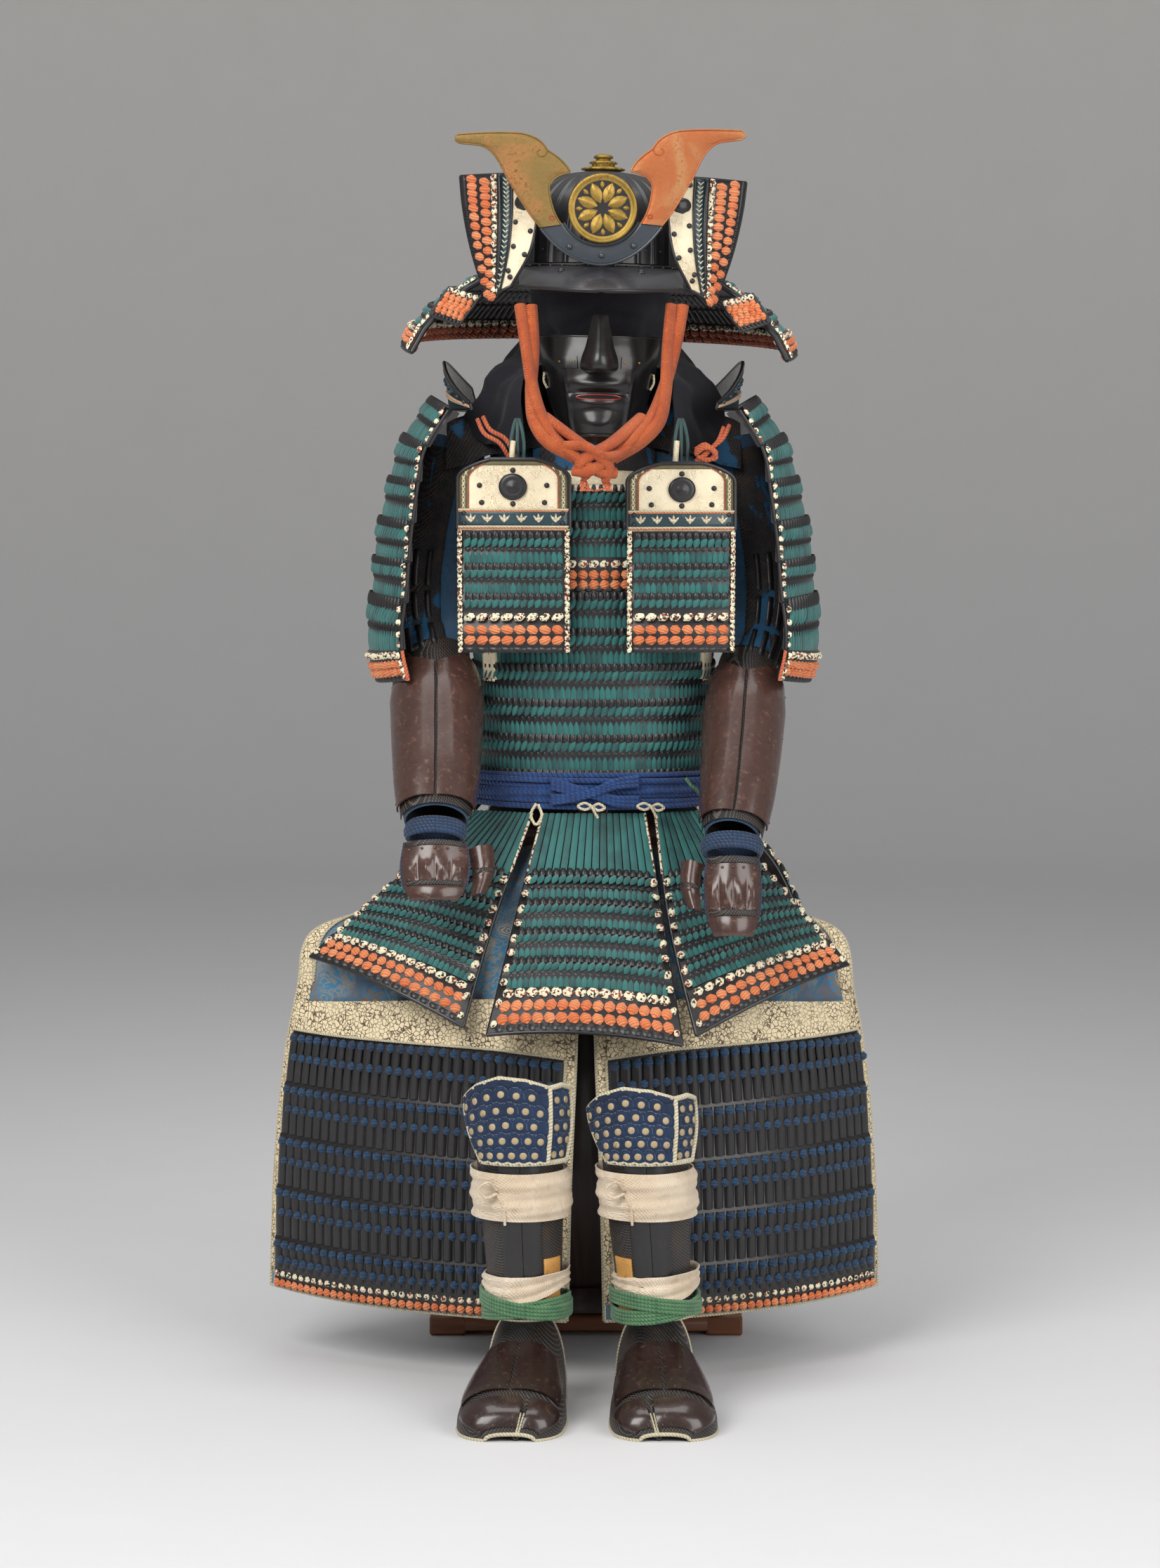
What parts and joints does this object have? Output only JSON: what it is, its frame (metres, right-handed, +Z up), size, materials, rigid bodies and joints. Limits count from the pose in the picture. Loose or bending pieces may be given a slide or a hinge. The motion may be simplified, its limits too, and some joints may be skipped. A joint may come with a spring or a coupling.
{
  "type": "samurai armour with its wooden stand and armour chest",
  "caption": "Full samurai armour, seated on its stand: horned helmet, mask, laced cuirass, shoulder guards, sleeves, tassets, thigh, shin and foot guards",
  "frame": {"origin": "centre of the bounding box in plan, at floor level under the stand and the foot guards", "axes": "+Z up; the armour faces -Y, with the toes at the lowest Y; +X is to the right of a viewer standing in front of it"},
  "size_m": [0.7508, 0.86, 1.4885],
  "materials": {
    "black_lacquer": "black lacquer over iron and hide plates, soft gloss",
    "teal_lacing": "flat teal silk braid, laced over the plates",
    "gilt_copper": "worn gilding on copper, brushed and darkened",
    "copper_gilt": "reddish worn gilding on copper",
    "dark_iron": "blue-black iron plate, satin",
    "orange_cord": "soft orange cloth and braid, frayed",
    "navy_cloth": "plain navy-black cloth, matt",
    "blue_cloth": "indigo hemp cloth under fine mail and splints",
    "brocade": "blue and brown flowered brocade with leather bands",
    "russet_iron": "russet-brown iron plates",
    "cobalt_cord": "blue braided cord",
    "navy_quilt": "navy quilting over hexagonal plates, ivory piping",
    "linen": "pale unbleached linen band",
    "leather": "cream printed leather with a small brown leaf pattern",
    "foot_lacquer": "dark brown lacquered plates",
    "wood": "mid brown waxed wood",
    "dark_wood": "dark stained wood"
  },
  "bodies": {
    "root": {"helmet_bowl": "black_lacquer", "helmet_finial": "gilt_copper", "helmet_brim": "black_lacquer", "neck_guard": "black_lacquer", "wing_left": "leather", "wing_right": "leather", "face_mask": "black_lacquer", "mask_nose": "black_lacquer", "hood_cloth": "navy_cloth", "crest_base": "dark_iron", "horn_left": "gilt_copper", "horn_right": "copper_gilt", "crest_disc": "gilt_copper", "cuirass_front": "teal_lacing", "cuirass_back": "teal_lacing", "shoulder_strap_left": "blue_cloth", "shoulder_strap_right": "blue_cloth", "chest_panel_left": "teal_lacing", "chest_panel_right": "teal_lacing", "waist_cord": "cobalt_cord", "tasset_centre": "teal_lacing", "tasset_front_left": "teal_lacing", "tasset_front_right": "teal_lacing", "tasset_side_left": "teal_lacing", "tasset_side_right": "teal_lacing", "tasset_back_right": "teal_lacing", "tasset_back_left": "teal_lacing", "shoulder_guard_left": "teal_lacing", "shoulder_guard_right": "teal_lacing", "shoulder_plate_left": "black_lacquer", "shoulder_plate_right": "black_lacquer", "sleeve_left": "blue_cloth", "forearm_plates_left": "russet_iron", "wrist_cord_left": "cobalt_cord", "hand_plate_left": "russet_iron", "thumb_plate_left": "russet_iron", "sleeve_right": "blue_cloth", "forearm_plates_right": "russet_iron", "wrist_cord_right": "cobalt_cord", "hand_plate_right": "russet_iron", "thumb_plate_right": "russet_iron", "stand_post": "wood", "stand_head": "wood", "thigh_cloth_left": "brocade", "thigh_cloth_right": "brocade", "thigh_lames_left": "black_lacquer", "thigh_lames_right": "black_lacquer", "shin_guard_left": "black_lacquer", "knee_guard_left": "navy_quilt", "linen_tie_left": "linen", "foot_guard_left": "foot_lacquer", "shin_guard_right": "black_lacquer", "knee_guard_right": "navy_quilt", "linen_tie_right": "linen", "foot_guard_right": "foot_lacquer", "stand_base": "wood", "stand_box": "dark_wood", "chin_cord_left": "orange_cord", "chin_cord_right": "orange_cord", "chin_knot": "orange_cord"}
  },
  "joints": []
}
